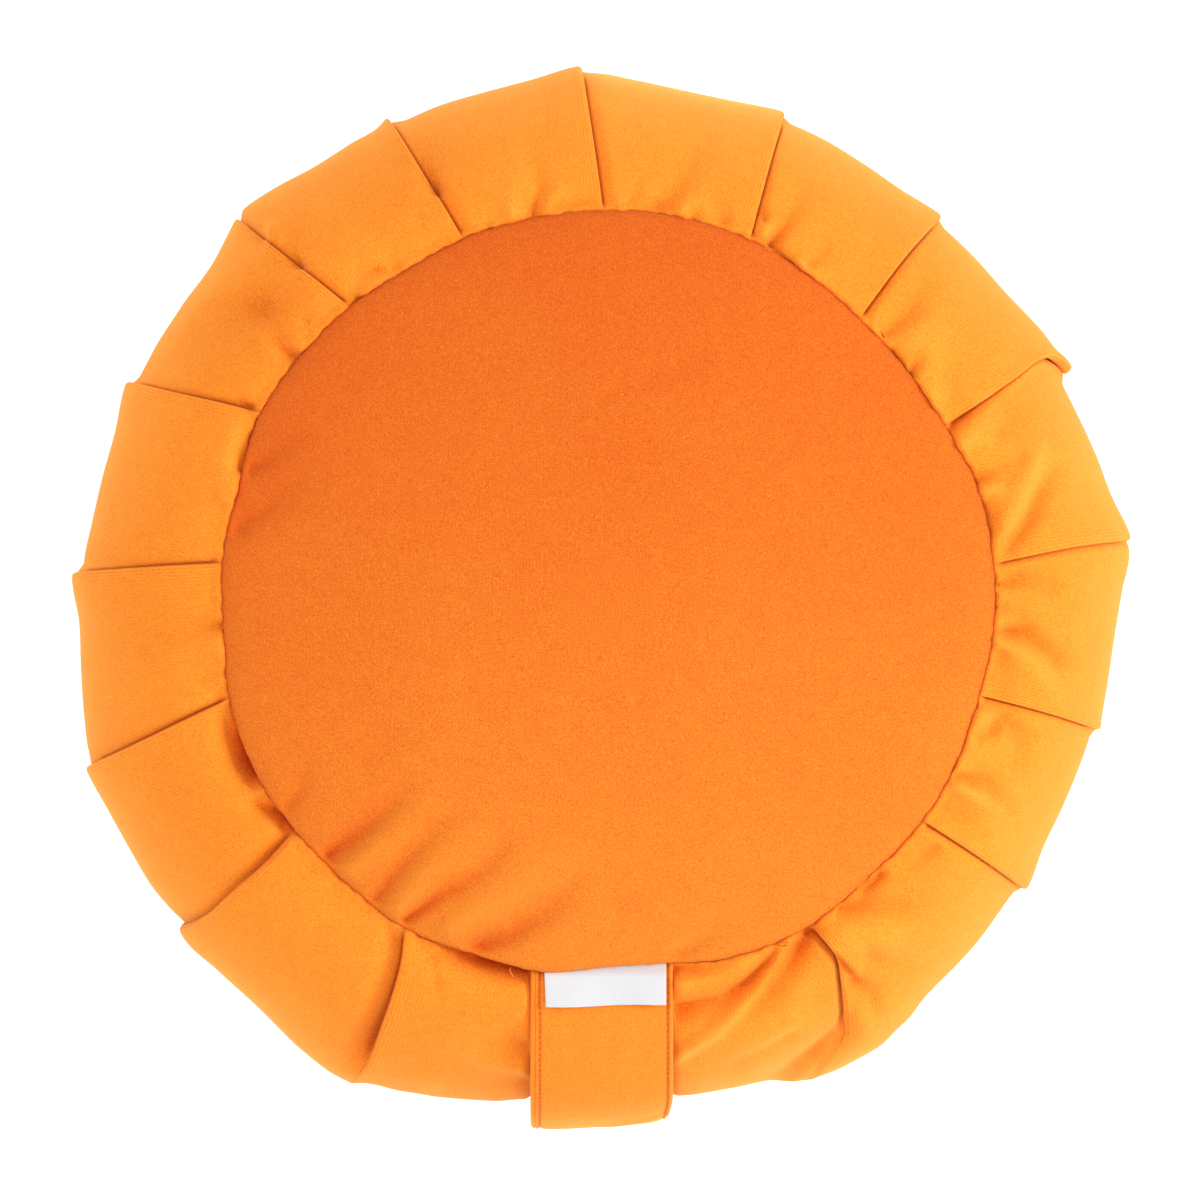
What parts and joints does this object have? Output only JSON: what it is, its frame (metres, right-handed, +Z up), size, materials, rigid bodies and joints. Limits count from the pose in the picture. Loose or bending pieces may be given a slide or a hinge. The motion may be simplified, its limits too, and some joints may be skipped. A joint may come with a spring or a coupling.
{
  "type": "zafu meditation cushion",
  "caption": "Round filled floor cushion with a knife-pleated side, domed round top panel, carrying strap and small bare label.",
  "frame": {"origin": "middle of the flat underside of the base panel, on the floor", "axes": "+Z up through the crown; the carrying strap is at -Y; +X to the right seen from the strap"},
  "size_m": [0.3557, 0.3572, 0.14],
  "materials": {
    "side_velvet": "short-pile orange velvet",
    "panel_velvet": "short-pile orange velvet, nap laid darker",
    "strap_velvet": "short-pile orange velvet, top-stitched",
    "label_satin": "bare white woven label"
  },
  "bodies": {
    "root": {"filled_side": "side_velvet", "top_panel": "panel_velvet", "base_panel": "panel_velvet", "carry_strap": "strap_velvet", "sewn_label": "label_satin"}
  },
  "joints": []
}
